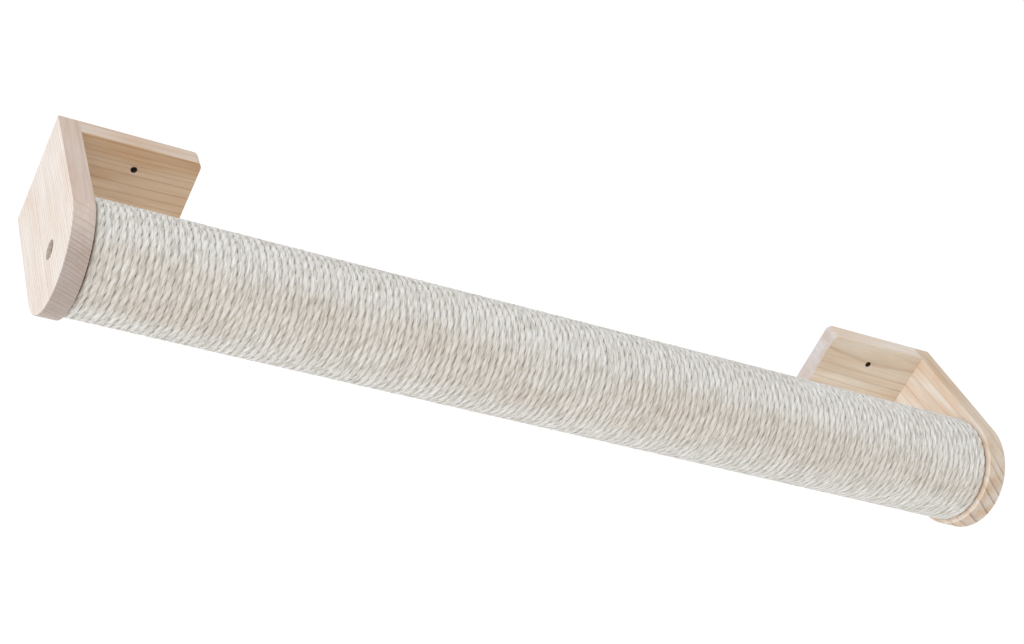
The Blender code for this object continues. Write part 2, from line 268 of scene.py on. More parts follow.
pineSettings = {
    "bends": (45 * mm, 260 * mm),  # size across the grain and along it, here and below
    "fineFibres": (0.35 * mm, 14 * mm),  # near their real width
    "coarseFibres": (2.2 * mm, 70 * mm),  # these show from a step away
    "patches": (16 * mm, 90 * mm),
    "yearChange": 0.37,  # how fast the width of the years changes, in one year
    "yearSpread": 1.6,  # how much it changes
    "relief": 0.08 * mm,
    "ringRelief": 0.6,  # how far late wood stands up, as a share of the fibres' relief
}

# One look for each board. The grain runs along one axis and the narrow edges look along another.
# The pith, in metres, is where the board's origin lies in the log, which is tilted by degrees.
# Rings and their sway are in mm. The rings show by contrast on the faces and by endContrast on
# end grain, and faint of that is left where they fade. Each pair of colours is early wood, then
# late wood, and patchy is how strongly the patch colour comes through.
pineLooks = {
    "left_end_plate": {
        "grain": "Y", "narrow": "Z", "pith": (0.46, 0.0, 0.11), "tilt": (0, 0, 1.5),
        "ring": 2.6, "sway": 6.0, "contrast": 1.0, "endContrast": 0.85, "faint": 0.2,
        "face": ("#EFE8E2", "#A88768"), "edge": ("#CDBEB4", "#BFADA1"),
        "end": ("#B0A49D", "#745C50"), "patch": "#F5EAE1", "patchy": 0.8},
    "right_end_plate": {
        "grain": "Y", "narrow": "Z", "pith": (-0.48, 0.0, -0.10), "tilt": (0, 0, -2.0),
        "ring": 9.0, "sway": 10.0, "contrast": 0.6, "endContrast": 1.0, "faint": 0.35,
        "face": ("#F6EDE3", "#DAB690"), "edge": ("#CFC3B3", "#B69672"),
        "end": ("#CDC1B4", "#7F6D5C"), "patch": "#F1DBC5", "patchy": 0.9},
    # The left wall plate's face colours are darker than the right one's: painted shade, for the
    # shade that the left end plate and the post cast on it
    "left_wall_plate": {
        "grain": "X", "narrow": "Z", "pith": (0.0, 0.055, 0.03), "tilt": (0, 1.5, 0),
        "ring": 5.0, "sway": 12.0, "contrast": 0.7, "endContrast": 0.6, "faint": 0.15,
        "face": ("#CFB598", "#9C724C"), "edge": ("#D4C8BE", "#C4B09C"),
        "end": ("#CDBFB2", "#A88F7A"), "patch": "#EED9C2", "patchy": 0.9},
    "right_wall_plate": {
        "grain": "X", "narrow": "Z", "pith": (0.0, 0.085, -0.07), "tilt": (0, -2.0, 0),
        "ring": 5.0, "sway": 12.0, "contrast": 0.6, "endContrast": 0.2, "faint": 0.1,
        "face": ("#E6DAC9", "#AF8762"), "edge": ("#DBD1C6", "#C2A98F"),
        "end": ("#DDD7D8", "#D3CAC8"), "patch": "#F3E2D0", "patchy": 0.8},
    "core_plug": {
        "grain": "X", "narrow": "Z", "pith": (0.0, 0.16, 0.02), "tilt": (0, 0, 0),
        "ring": 3.5, "sway": 4.0, "contrast": 0.6, "endContrast": 0.8, "faint": 0.3,
        "face": ("#E8D5B8", "#BE9468"), "edge": ("#E8D5B8", "#BE9468"),
        "end": ("#D9C2A2", "#9E7A55"), "patch": "#F0D9BE", "patchy": 0.6},
}


def makePine(name, look):
    # Pine, planed and sanded and left bare: pale dull cream with thin warm late-wood lines. Its
    # end grain takes up more dirt and light, so it is greyer, and the growth rings show there as
    # thin dark lines.
    material, tree, shader = newMaterial(name, {"Roughness": 0.62, "IOR": 1.5})
    place = addNode(tree, "ShaderNodeTexCoord")
    tilt = [math.radians(turn) for turn in look["tilt"]]
    inLog = addNode(tree, "ShaderNodeMapping", values={"Location": look["pith"], "Rotation": tilt},
                    links={"Vector": place.outputs["Object"]})

    def stretch(size):
        across, length = size
        return [1 / length if axis == look["grain"] else 1 / across for axis in "XYZ"]

    slow = addNode(tree, "ShaderNodeMapping", values={"Scale": stretch(pineSettings["bends"])},
                   links={"Vector": inLog.outputs[0]})
    sway = addNode(tree, "ShaderNodeTexNoise",
                   values={"Scale": 1.0, "Detail": 2.0, "Roughness": 0.45},
                   links={"Vector": slow.outputs[0]})
    sway = addNode(tree, "ShaderNodeVectorMath", {"operation": "SUBTRACT"}, {1: (0.5, 0.5, 0.5)},
                   {0: sway.outputs["Color"]})
    sway = addNode(tree, "ShaderNodeVectorMath", {"operation": "SCALE"},
                   {"Scale": look["sway"] * mm}, {0: sway.outputs[0]})
    bent = addNode(tree, "ShaderNodeVectorMath", {"operation": "ADD"},
                   links={0: inLog.outputs[0], 1: sway.outputs[0]})
    across = addNode(tree, "ShaderNodeVectorMath", {"operation": "MULTIPLY"},
                     {1: [0.0 if axis == look["grain"] else 1.0 for axis in "XYZ"]},
                     {0: bent.outputs[0]})
    radius = addNode(tree, "ShaderNodeVectorMath", {"operation": "LENGTH"},
                     links={0: across.outputs[0]})
    rings = addNode(tree, "ShaderNodeMath", {"operation": "DIVIDE"}, {1: look["ring"] * mm},
                    {0: radius.outputs["Value"]})
    uneven = addNode(tree, "ShaderNodeTexNoise", {"noise_dimensions": "1D"},
                     {"Scale": pineSettings["yearChange"], "Detail": 1.0},
                     {"W": rings.outputs[0]})
    rings = addNode(tree, "ShaderNodeMath", {"operation": "MULTIPLY_ADD"},
                    {1: pineSettings["yearSpread"]},
                    {0: uneven.outputs[0], 2: rings.outputs[0]})
    year = addNode(tree, "ShaderNodeMath", {"operation": "FRACT"}, links={0: rings.outputs[0]})
    growth = addNode(tree, "ShaderNodeValToRGB", links={"Fac": year.outputs[0]}, stops=[
        (0.0, "#000000"), (0.45, "#1A1A1A"), (0.78, "#777777"), (0.90, "#FFFFFF"),
        (0.965, "#DDDDDD"), (1.0, "#000000")])
    # Fibres, as streaks along the grain: a fine set and a coarse set
    streaks = []
    for size in (pineSettings["fineFibres"], pineSettings["coarseFibres"]):
        fibre = addNode(tree, "ShaderNodeMapping", values={"Scale": stretch(size)},
                        links={"Vector": bent.outputs[0]})
        streaks.append(addNode(tree, "ShaderNodeTexNoise",
                               values={"Scale": 1.0, "Detail": 3.0, "Roughness": 0.6},
                               links={"Vector": fibre.outputs[0]}))
    fine, coarse = streaks
    fade = addNode(tree, "ShaderNodeMapRange", values={
        "From Min": 0.3, "From Max": 0.7, "To Min": look["faint"], "To Max": 1.0},
        links={"Value": coarse.outputs[0]})
    # How much the surface is a long narrow edge, and how much it is end grain
    shares = []
    for direction in (look["narrow"], look["grain"]):
        facing = addNode(tree, "ShaderNodeVectorMath", {"operation": "DOT_PRODUCT"},
                         {1: [1.0 if axis == direction else 0.0 for axis in "XYZ"]},
                         {0: place.outputs["Normal"]})
        facing = addNode(tree, "ShaderNodeMath", {"operation": "ABSOLUTE"},
                         links={0: facing.outputs["Value"]})
        shares.append(addNode(tree, "ShaderNodeMapRange", {"interpolation_type": "SMOOTHSTEP"},
                              {"From Min": 0.25, "From Max": 0.95}, {"Value": facing.outputs[0]}))
    isEdge, isEnd = shares
    contrast = addNode(tree, "ShaderNodeMapRange",
                       values={"To Min": look["contrast"], "To Max": look["endContrast"]},
                       links={"Value": isEnd.outputs[0]})
    lines = addNode(tree, "ShaderNodeMath", {"operation": "MULTIPLY"},
                    links={0: growth.outputs["Color"], 1: fade.outputs[0]})
    lines = addNode(tree, "ShaderNodeMath", {"operation": "MULTIPLY"},
                    links={0: lines.outputs[0], 1: contrast.outputs[0]})
    seasons = []
    for face, edge, end in zip(look["face"], look["edge"], look["end"]):
        tone = addNode(tree, "ShaderNodeMix", {"data_type": "RGBA"},
                       {"A": hexColour(face), "B": hexColour(edge)},
                       {"Factor": isEdge.outputs[0]})
        seasons.append(addNode(tree, "ShaderNodeMix", {"data_type": "RGBA"},
                               {"B": hexColour(end)},
                               {"A": tone.outputs["Result"], "Factor": isEnd.outputs[0]}))
    early, late = seasons
    wood = addNode(tree, "ShaderNodeMix", {"data_type": "RGBA"}, links={
        "A": early.outputs["Result"], "B": late.outputs["Result"], "Factor": lines.outputs[0]})
    patch = addNode(tree, "ShaderNodeMapping", values={"Scale": stretch(pineSettings["patches"])},
                    links={"Vector": inLog.outputs[0]})
    patch = addNode(tree, "ShaderNodeTexNoise", values={"Scale": 1.0, "Detail": 2.0},
                    links={"Vector": patch.outputs[0]})
    patch = addNode(tree, "ShaderNodeMapRange", values={
        "From Min": 0.35, "From Max": 0.7, "To Min": 0.0, "To Max": look["patchy"]},
        links={"Value": patch.outputs[0]})
    wood = addNode(tree, "ShaderNodeMix", {"data_type": "RGBA", "blend_type": "MULTIPLY"},
                   {"B": hexColour(look["patch"])},
                   {"A": wood.outputs["Result"], "Factor": patch.outputs[0]})
    for streak, low, high in ((fine, 0.92, 1.06), (coarse, 0.90, 1.08)):  # darkest, lightest
        tone = addNode(tree, "ShaderNodeMapRange", values={
            "From Min": 0.25, "From Max": 0.75, "To Min": low, "To Max": high},
            links={"Value": streak.outputs[0]})
        wood = addNode(tree, "ShaderNodeMix", {"data_type": "RGBA", "blend_type": "MULTIPLY"},
                       {"Factor": 1.0}, {"A": wood.outputs["Result"], "B": tone.outputs[0]})
    tree.links.new(wood.outputs["Result"], shader.inputs["Base Color"])
    relief = addNode(tree, "ShaderNodeMath", {"operation": "MULTIPLY_ADD"},
                     {1: pineSettings["ringRelief"]},
                     {0: growth.outputs["Color"], 2: fine.outputs[0]})
    bump = addNode(tree, "ShaderNodeBump",
                   values={"Strength": 0.5, "Distance": pineSettings["relief"]},
                   links={"Height": relief.outputs[0]})
    tree.links.new(bump.outputs[0], shader.inputs["Normal"])
    return material


pine = {name: makePine("planed_pine_" + name, look) for name, look in pineLooks.items()}

boredPineSettings = {
    "tornFibre": 0.8 * mm,
    "relief": 0.15 * mm,
    "drilled": ("#3E2E1F", "#6A533C"),  # scorched and torn wood, both darkened with painted shade: the darker tone, then the lighter
    "counterbored": ("#C3B2A6", "#EADFD6"),
}


def makeBoredPine(name, colours):
    # The wall of a drilled hole: torn and scorched by the drill, so brown and matt, and with
    # painted shade that makes it darker the smaller it is
    material, tree, shader = newMaterial(name, {"Roughness": 0.8, "IOR": 1.5})
    place = addNode(tree, "ShaderNodeTexCoord")
    tear = addNode(tree, "ShaderNodeTexNoise",
                   values={"Scale": 1 / boredPineSettings["tornFibre"], "Detail": 3.0},
                   links={"Vector": place.outputs["Object"]})
    # the darker and the lighter tone; for the small drilled holes both hold painted shade
    darkerTone, lighterTone = colours
    colour = addNode(tree, "ShaderNodeValToRGB", links={"Fac": tear.outputs[0]}, stops=[
        (0.35, darkerTone), (0.65, lighterTone)])
    tree.links.new(colour.outputs["Color"], shader.inputs["Base Color"])
    bump = addNode(tree, "ShaderNodeBump",
                   values={"Strength": 0.6, "Distance": boredPineSettings["relief"]},
                   links={"Height": tear.outputs[0]})
    tree.links.new(bump.outputs[0], shader.inputs["Normal"])
    return material


# the small holes' walls are darkened with painted shade
drilledPineWithPaintedShade = makeBoredPine("drilled_pine_painted_shade", boredPineSettings["drilled"])
counterboredPine = makeBoredPine("counterbored_pine", boredPineSettings["counterbored"])

sisalSettings = {
    "fibres": (0.45 * mm, 7 * mm),  # across and along. About 0.2 mm wide, drawn coarser to show
    "bundles": (1.1 * mm, 9 * mm),
    "batches": (110 * mm, 30 * mm),  # along and across the post
    # tint of warmer fibre batches at random, and of the painted shade on the front band
    "batchAndPaintedShadeTint": "#EEE6DE",
    "paintedShadeTowards": (-0.006, -0.966, 0.26),  # the band facing the front, which gets painted shade
    "paintedShadeBetween": (155 * mm, 166 * mm),  # how far out it starts and is complete
    # painted shade in the grooves between turns and between strands
    "paintedGrooveShadeTint": "#F0ECE4",
    "relief": 0.2 * mm,
    "looseFibreTone": 6 * mm,
}


def makeSisal():
    # Bleached sisal, laid in three strands: dull off-white with straight glossy fibres, and
    # painted shade that makes the grooves greyer
    material, tree, shader = newMaterial("laid_sisal_rope", {"Roughness": 0.75, "IOR": 1.5})
    place = addNode(tree, "ShaderNodeTexCoord")
    paintedGrooveShade = addNode(tree, "ShaderNodeAttribute", {"attribute_name": "paintedGrooveShade"})
    wound = addNode(tree, "ShaderNodeAttribute", {"attribute_name": "fibre"})
    streaks = []
    for width, length in (sisalSettings["fibres"], sisalSettings["bundles"]):
        fibre = addNode(tree, "ShaderNodeMapping",
                        values={"Scale": (1 / width, 1 / width, 1 / length)},
                        links={"Vector": wound.outputs["Vector"]})
        streaks.append(addNode(tree, "ShaderNodeTexNoise",
                               values={"Scale": 1.0, "Detail": 2.0, "Roughness": 0.55},
                               links={"Vector": fibre.outputs[0]}))
    fine, coarse = streaks
    base = addNode(tree, "ShaderNodeValToRGB", links={"Fac": coarse.outputs[0]}, stops=[
        (0.32, "#C3C0B8"), (0.46, "#DEDDDA"), (0.62, "#F0F0EF")])
    shade = addNode(tree, "ShaderNodeMapRange", values={
        "From Min": 0.3, "From Max": 0.7, "To Min": 0.78, "To Max": 1.04},
        links={"Value": fine.outputs[0]})
    colour = addNode(tree, "ShaderNodeMix", {"data_type": "RGBA", "blend_type": "MULTIPLY"},
                     {"Factor": 1.0}, {"A": base.outputs["Color"], "B": shade.outputs[0]})
    # Warmer fibre in long patches at random, and painted shade on the band facing the front
    length, width = sisalSettings["batches"]
    batch = addNode(tree, "ShaderNodeMapping",
                    values={"Scale": (1 / length, 1 / width, 1 / width)},
                    links={"Vector": place.outputs["Object"]})
    batch = addNode(tree, "ShaderNodeTexNoise", values={"Scale": 1.0, "Detail": 2.0},
                    links={"Vector": batch.outputs[0]})
    batch = addNode(tree, "ShaderNodeMapRange", values={
        "From Min": 0.35, "From Max": 0.65, "To Min": 0.5, "To Max": 0.85},
        links={"Value": batch.outputs[0]})
    # painted shade: a mask for the band of rope that faces the front
    paintedShadeBand = addNode(tree, "ShaderNodeVectorMath", {"operation": "DOT_PRODUCT"},
                     {1: sisalSettings["paintedShadeTowards"]}, {0: place.outputs["Object"]})
    start, full = sisalSettings["paintedShadeBetween"]
    paintedShadeBand = addNode(tree, "ShaderNodeMapRange", {"interpolation_type": "SMOOTHSTEP"},
                     {"From Min": start, "From Max": full, "To Min": 0.15, "To Max": 1.0},
                     {"Value": paintedShadeBand.outputs["Value"]})
    batchAndPaintedShade = addNode(tree, "ShaderNodeMath", {"operation": "MULTIPLY"},
                     links={0: batch.outputs[0], 1: paintedShadeBand.outputs[0]})
    colour = addNode(tree, "ShaderNodeMix", {"data_type": "RGBA", "blend_type": "MULTIPLY"},
                     {"B": hexColour(sisalSettings["batchAndPaintedShadeTint"])},
                     {"A": colour.outputs["Result"], "Factor": batchAndPaintedShade.outputs[0]})
    # painted shade: the grooves between turns and between strands darkened
    colour = addNode(tree, "ShaderNodeMix", {"data_type": "RGBA", "blend_type": "MULTIPLY"},
                     {"B": hexColour(sisalSettings["paintedGrooveShadeTint"])},
                     {"A": colour.outputs["Result"], "Factor": paintedGrooveShade.outputs["Fac"]})
    tree.links.new(colour.outputs["Result"], shader.inputs["Base Color"])
    relief = addNode(tree, "ShaderNodeMath", {"operation": "ADD"},
                     links={0: fine.outputs[0], 1: coarse.outputs[0]})
    bump = addNode(tree, "ShaderNodeBump",
                   values={"Strength": 0.8, "Distance": sisalSettings["relief"]},
                   links={"Height": relief.outputs[0]})
    tree.links.new(bump.outputs[0], shader.inputs["Normal"])
    return material


def makeLooseSisal():
    # Single sisal fibres that stand off the rope: pale, stiff and slightly glossy
    material, tree, shader = newMaterial("loose_sisal_fibre", {"Roughness": 0.55, "IOR": 1.5})
    place = addNode(tree, "ShaderNodeTexCoord")
    tone = addNode(tree, "ShaderNodeTexNoise",
                   values={"Scale": 1 / sisalSettings["looseFibreTone"], "Detail": 1.0},
                   links={"Vector": place.outputs["Object"]})
    colour = addNode(tree, "ShaderNodeValToRGB", links={"Fac": tone.outputs[0]}, stops=[
        (0.35, "#DDD6C8"), (0.65, "#F3F1EA")])
    tree.links.new(colour.outputs["Color"], shader.inputs["Base Color"])
    return material


zincSettings = {
    "bloom": 2.5 * mm,
    "grit": 0.25 * mm,
    "relief": 0.02 * mm,
}


def makeZinc():
    # Zinc-plated steel, cold headed and long in store: dull grey with a faint brown bloom, no
    # bright glints
    material, tree, shader = newMaterial("dull_zinc_plated_steel", {"Metallic": 1.0})
    place = addNode(tree, "ShaderNodeTexCoord")
    bloom = addNode(tree, "ShaderNodeTexNoise",
                    values={"Scale": 1 / zincSettings["bloom"], "Detail": 3.0, "Roughness": 0.6},
                    links={"Vector": place.outputs["Object"]})
    colour = addNode(tree, "ShaderNodeValToRGB", links={"Fac": bloom.outputs[0]}, stops=[
        (0.35, "#7C736C"), (0.5, "#8F8882"), (0.7, "#A5A19D")])
    tree.links.new(colour.outputs["Color"], shader.inputs["Base Color"])
    sheen = addNode(tree, "ShaderNodeMapRange", values={
        "From Min": 0.35, "From Max": 0.7, "To Min": 0.62, "To Max": 0.44},
        links={"Value": bloom.outputs[0]})
    tree.links.new(sheen.outputs[0], shader.inputs["Roughness"])
    grain = addNode(tree, "ShaderNodeTexNoise",
                    values={"Scale": 1 / zincSettings["grit"], "Detail": 2.0},
                    links={"Vector": place.outputs["Object"]})
    bump = addNode(tree, "ShaderNodeBump",
                   values={"Strength": 0.4, "Distance": zincSettings["relief"]},
                   links={"Height": grain.outputs[0]})
    tree.links.new(bump.outputs[0], shader.inputs["Normal"])
    return material


beechSettings = {
    "rayLength": 3 * mm,
    "rayWidth": 0.35 * mm,
    "relief": 0.05 * mm,
}


def makeBeech():
    # Beech dowel rod: even pinkish brown with the short dark flecks of its rays
    material, tree, shader = newMaterial("beech_dowel_rod", {"Roughness": 0.6, "IOR": 1.5})
    place = addNode(tree, "ShaderNodeTexCoord")
    length, width = beechSettings["rayLength"], beechSettings["rayWidth"]
    fleck = addNode(tree, "ShaderNodeMapping",
                    values={"Scale": (1 / length, 1 / width, 1 / width)},
                    links={"Vector": place.outputs["Object"]})
    fleck = addNode(tree, "ShaderNodeTexNoise", values={"Scale": 1.0, "Detail": 2.0},
                    links={"Vector": fleck.outputs[0]})
    colour = addNode(tree, "ShaderNodeValToRGB", links={"Fac": fleck.outputs[0]}, stops=[
        (0.3, "#A87B55"), (0.42, "#C79F78"), (0.7, "#D3AF8B")])
    tree.links.new(colour.outputs["Color"], shader.inputs["Base Color"])
    bump = addNode(tree, "ShaderNodeBump",
                   values={"Strength": 0.3, "Distance": beechSettings["relief"]},
                   links={"Height": fleck.outputs[0]})
    tree.links.new(bump.outputs[0], shader.inputs["Normal"])
    return material


cardSettings = {
    "stripPitch": 95 * mm,  # along the tube, for each turn of the paper strip
    "fibre": 1.2 * mm,
    "relief": 0.05 * mm,
}


def makeCard():
    # Kraft card tube, wound on the slant from brown paper: matt, fibrous, with the dark line
    # where the strip's edges meet
    material, tree, shader = newMaterial("wound_kraft_card", {"Roughness": 0.85, "IOR": 1.45})
    place = addNode(tree, "ShaderNodeTexCoord")
    middle = addNode(tree, "ShaderNodeMapping", values={"Location": (0, -postAxis, 0)},
                     links={"Vector": place.outputs["Object"]})
    axes = addNode(tree, "ShaderNodeSeparateXYZ", links={"Vector": middle.outputs[0]})
    around = addNode(tree, "ShaderNodeMath", {"operation": "ARCTAN2"},
                     links={0: axes.outputs["Z"], 1: axes.outputs["Y"]})
    around = addNode(tree, "ShaderNodeMath", {"operation": "DIVIDE"}, {1: 2 * math.pi},
                     {0: around.outputs[0]})
    strip = addNode(tree, "ShaderNodeMath", {"operation": "MULTIPLY_ADD"},
                    {1: 1 / cardSettings["stripPitch"]},
                    {0: axes.outputs["X"], 2: around.outputs[0]})
    strip = addNode(tree, "ShaderNodeMath", {"operation": "FRACT"}, links={0: strip.outputs[0]})
    seam = addNode(tree, "ShaderNodeValToRGB", links={"Fac": strip.outputs[0]}, stops=[
        (0.0, "#6A4E33"), (0.012, "#98754E"), (1.0, "#98754E")])
    fibre = addNode(tree, "ShaderNodeTexNoise",
                    values={"Scale": 1 / cardSettings["fibre"], "Detail": 4.0, "Roughness": 0.7},
                    links={"Vector": place.outputs["Object"]})
    tone = addNode(tree, "ShaderNodeMapRange", values={"To Min": 0.8, "To Max": 1.15},
                   links={"Value": fibre.outputs[0]})
    colour = addNode(tree, "ShaderNodeMix", {"data_type": "RGBA", "blend_type": "MULTIPLY"},
                     {"Factor": 1.0}, {"A": seam.outputs["Color"], "B": tone.outputs[0]})
    tree.links.new(colour.outputs["Result"], shader.inputs["Base Color"])
    bump = addNode(tree, "ShaderNodeBump",
                   values={"Strength": 0.3, "Distance": cardSettings["relief"]},
                   links={"Height": fibre.outputs[0]})
    tree.links.new(bump.outputs[0], shader.inputs["Normal"])
    return material


sisal = makeSisal()
looseSisal = makeLooseSisal()
zinc = makeZinc()
beech = makeBeech()

# The pieces inside the post and the joints keep their CAD shapes
insidePieces = {
    "dowel_upper": beech, "dowel_lower": beech, "core_plug": pine["core_plug"],
    "washer": zinc, "threaded_insert": zinc,
    "plug_screw_1": zinc, "plug_screw_2": zinc, "plug_screw_3": zinc,
}
for label in bracketSides:
    for piece, material in insidePieces.items():
        giveMaterial(bpy.data.objects[f"{label}_{piece}"], material)
giveMaterial(bpy.data.objects["core_tube"], makeCard())
print("materials made")


# Brackets

boardSettings = {
    "easedEdge": 1.0 * mm,
    "easedSteps": 3,
    "jointClosed": 0.3 * mm,  # glued tight: takes up the gap that the CAD solids keep
    "cornerRadius": 6 * mm,
    "cornerSteps": 12,
    "frontSides": 96,  # of the whole circle that the half-round front is cut from
    "counterbore": 16 * mm,
    "counterboreDepth": 13.1 * mm,
    "boltHole": 9 * mm,
    "screwHole": 5.5 * mm,
    "screwRim": 7.2 * mm,  # the hole's mouth, broken by the drill
    "screwPlace": 371.5 * mm,
    "screwSpacing": 57 * mm,
    "dowelHole": 8.6 * mm,
    "dowelSpacing": 56 * mm,
    "dowelInEnd": 12.3 * mm,
    "dowelInWall": 28 * mm,
    "holeSides": 48,
    "cutterStart": 2 * mm,  # how far a drill starts in front of the wood
    "cutterSlack": 0.02 * mm,  # how far the rim's cutter overlaps and a hole's wall may be off
}


def combine(piece, operation, tool):
    pointOutward(tool)
    applyModifier(piece, "BOOLEAN", {"operation": operation, "solver": "MANIFOLD",
                                     "object": tool})
    bpy.data.objects.remove(tool)


def drill(piece, mouth, towards, diameter, depth, sides=boardSettings["holeSides"]):
    # A hole from its mouth into the piece, along the direction given
    start, slack = boardSettings["cutterStart"], boardSettings["cutterSlack"]
    mouth, towards = Vector(mouth), Vector(towards)
    selectNothing()
    bpy.ops.mesh.primitive_cylinder_add(vertices=sides, radius=diameter / 2, depth=depth + start,
                                        location=mouth + towards * (depth - start) / 2,
                                        rotation=towards.to_track_quat("Z", "Y").to_euler())
    combine(piece, "DIFFERENCE", newest("drill"))
    for face in piece.data.polygons:
        corners = [piece.data.vertices[index].co - mouth for index in face.vertices]
        isInside = all(corner.cross(towards).length < diameter / 2 + slack for corner in corners)
        if isInside and 0 < (face.center - mouth).dot(towards) < depth + slack:
            face.material_index = 1  # the bored wood


def liesAtX(edge, x):
    return all(abs(corner.co.x - x) < nearly for corner in edge.verts)


def easeEdges(board, isGlued):
    # A light rounding by hand, on every sharp edge that isn't glued against the other board
    selectInEdit(board, "EDGE",
                 lambda edge: edge.calc_face_angle(0) > sharpFrom and not isGlued(edge))
    bpy.ops.mesh.bevel(offset=boardSettings["easedEdge"], offset_type="OFFSET",
                       segments=boardSettings["easedSteps"], profile=0.5, affect="EDGES")
    pointOutward(board)


def makeEndPlate(label, side):
    low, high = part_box(f"{label}_end_plate")
    middle = (low + high) / 2
    outer, inner = (high.x, low.x) if side > 0 else (low.x, high.x)
    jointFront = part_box(f"{label}_wall_plate")[0].y
    selectNothing()
    bpy.ops.mesh.primitive_cylinder_add(vertices=boardSettings["frontSides"],
                                        radius=(high.z - low.z) / 2, depth=high.x - low.x,
                                        location=(middle.x, postAxis, 0),
                                        rotation=(0, math.pi / 2, 0))
    plate = newest(f"{label}EndPlate")
    selectInEdit(plate, "FACE", lambda face: True)
    bpy.ops.mesh.bisect(plane_co=(0, postAxis, 0), plane_no=(0, 1, 0), clear_outer=True,
                        use_fill=True)
    selectInEdit(plate, "FACE", lambda face: face.normal.y > aligned)
    toWall = (0, high.y - postAxis, 0)
    bpy.ops.mesh.extrude_region_move(TRANSFORM_OT_translate={"value": toWall})
    bpy.ops.mesh.select_all(action="SELECT")
    bpy.ops.mesh.dissolve_limited(angle_limit=flatBelow)
    selectInEdit(plate, "FACE", lambda face: True)
    bpy.ops.mesh.bisect(plane_co=(0, jointFront, 0), plane_no=(0, 1, 0))
    easeEdges(plate, lambda edge: liesAtX(edge, inner) and all(
        corner.co.y > jointFront - nearly for corner in edge.verts))
    drill(plate, (outer, postAxis, 0), (-side, 0, 0), boardSettings["counterbore"],
          boardSettings["counterboreDepth"])
    drill(plate, (outer, postAxis, 0), (-side, 0, 0), boardSettings["boltHole"],
          high.x - low.x + boardSettings["cutterStart"])
    dowelLow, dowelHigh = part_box(f"{label}_dowel_upper")
    for level in (-1, 1):
        hole = (inner, (dowelLow.y + dowelHigh.y) / 2, level * boardSettings["dowelSpacing"] / 2)
        drill(plate, hole, (side, 0, 0), boardSettings["dowelHole"], boardSettings["dowelInEnd"])
    finishShading(plate)
    giveMaterial(plate, pine[f"{label}_end_plate"], counterboredPine)
    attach(plate, "root")
    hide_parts(f"{label}_end_plate")


def makeWallPlate(label, side):
    low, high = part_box(f"{label}_wall_plate")
    outer, free = (high.x, low.x) if side > 0 else (low.x, high.x)
    butt = outer + side * boardSettings["jointClosed"]
    middle = ((butt + free) / 2, (low.y + high.y) / 2, (low.z + high.z) / 2)
    selectNothing()
    bpy.ops.mesh.primitive_cube_add(size=1, location=middle,
                                    scale=(abs(butt - free), high.y - low.y, high.z - low.z))
    plate = newest(f"{label}WallPlate")
    isAlongY = lambda edge: abs(edge.verts[0].co.y - edge.verts[1].co.y) > nearly
    selectInEdit(plate, "EDGE", lambda edge: isAlongY(edge) and liesAtX(edge, free))
    bpy.ops.mesh.bevel(offset=boardSettings["cornerRadius"], offset_type="OFFSET",
                       segments=boardSettings["cornerSteps"], profile=0.5, affect="EDGES")
    easeEdges(plate, lambda edge: liesAtX(edge, butt))
    rim = boardSettings["screwRim"]
    for level in (-1, 1):
        hole = (side * boardSettings["screwPlace"], low.y,
                level * boardSettings["screwSpacing"] / 2)
        drill(plate, hole, (0, 1, 0), boardSettings["screwHole"],
              high.y - low.y + boardSettings["cutterStart"])
        rimMiddle = Vector(hole) + Vector((0, rim / 4 - boardSettings["cutterSlack"], 0))
        selectNothing()
        bpy.ops.mesh.primitive_cone_add(vertices=boardSettings["holeSides"], radius1=rim / 2,
                                        radius2=0, depth=rim / 2, location=rimMiddle,
                                        rotation=(-math.pi / 2, 0, 0))
        combine(plate, "DIFFERENCE", newest("rim"))
        drill(plate, (butt, middle[1], level * boardSettings["dowelSpacing"] / 2),
              (-side, 0, 0), boardSettings["dowelHole"], boardSettings["dowelInWall"])
    finishShading(plate)
    giveMaterial(plate, pine[f"{label}_wall_plate"], drilledPineWithPaintedShade)
    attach(plate, "root")
    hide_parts(f"{label}_wall_plate")


boltSettings = {
    "head": 13 * mm,
    "headHeight": 8 * mm,
    "chamfer": 0.7 * mm,
    "shank": 8 * mm,
    "shankSides": 48,
    "socketAcrossFlats": 6 * mm,
    "socketDepth": 4 * mm,
    "ridges": 48,
    "ridgeDepth": 0.2 * mm,
}


